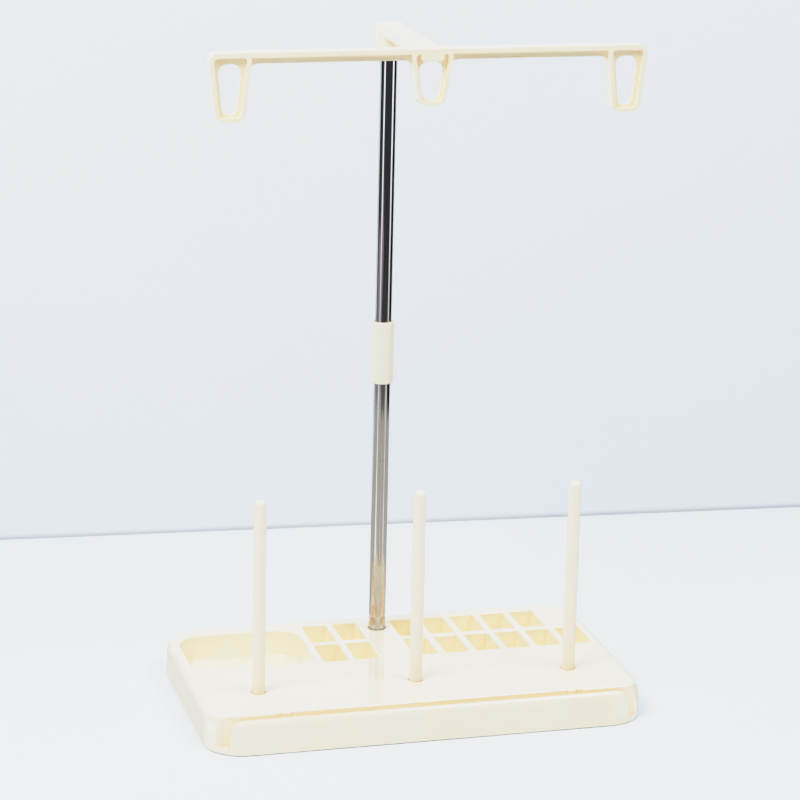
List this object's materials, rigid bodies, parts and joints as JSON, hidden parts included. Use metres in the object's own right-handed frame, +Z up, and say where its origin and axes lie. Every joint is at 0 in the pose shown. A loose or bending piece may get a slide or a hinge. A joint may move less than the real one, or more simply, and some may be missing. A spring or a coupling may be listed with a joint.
{
  "type": "thread rack",
  "caption": "Free-standing sewing thread rack: moulded base with bobbin bins, tray and ruler slot, upright spool pins, and a tube mast carrying a tee-shaped guide with thread loops.",
  "frame": {"origin": "on the table under the middle of the base", "axes": "+Z up along the mast, +X to the right as seen from the front, -Y towards the front with the ruler slot"},
  "size_m": [0.207, 0.1234, 0.312],
  "materials": {
    "base_plastic": "glossy moulded cream plastic",
    "pale_plastic": "satin moulded cream plastic",
    "plated_tube": "bright plated steel tube",
    "foot_rubber": "matt black rubber"
  },
  "bodies": {
    "stand": {"base": "base_plastic", "foot_front_left": "foot_rubber", "foot_front_right": "foot_rubber", "foot_back_left": "foot_rubber", "foot_back_right": "foot_rubber"},
    "left_pin": {"spool_pin_left": "pale_plastic"},
    "middle_pin": {"spool_pin_middle": "pale_plastic"},
    "right_pin": {"spool_pin_right": "pale_plastic"},
    "mast_foot": {"lower_tube": "plated_tube"},
    "mast_joint": {"coupler": "pale_plastic"},
    "mast_top": {"upper_tube": "plated_tube"},
    "guide": {"thread_guide": "pale_plastic"}
  },
  "joints": [
    {"name": "left_pin_lift", "type": "slide", "parent": "stand", "child": "left_pin", "axis": [0, 0, 1], "range_m": [0, 0.02]},
    {"name": "middle_pin_lift", "type": "slide", "parent": "stand", "child": "middle_pin", "axis": [0, 0, 1], "range_m": [0, 0.02]},
    {"name": "right_pin_lift", "type": "slide", "parent": "stand", "child": "right_pin", "axis": [0, 0, 1], "range_m": [0, 0.02]},
    {"name": "mast_lift", "type": "slide", "parent": "stand", "child": "mast_foot", "axis": [0, 0, 1], "range_m": [0, 0.02]},
    {"name": "coupler_pull", "type": "slide", "parent": "mast_foot", "child": "mast_joint", "axis": [0, 0, 1], "range_m": [0, 0.02]},
    {"name": "upper_tube_pull", "type": "slide", "parent": "mast_joint", "child": "mast_top", "axis": [0, 0, 1], "range_m": [0, 0.02]},
    {"name": "guide_swivel", "type": "hinge", "parent": "mast_top", "child": "guide", "pos_m": [0, 0.0428, 0.303], "axis": [0, 0, 1], "continuous": true}
  ]
}
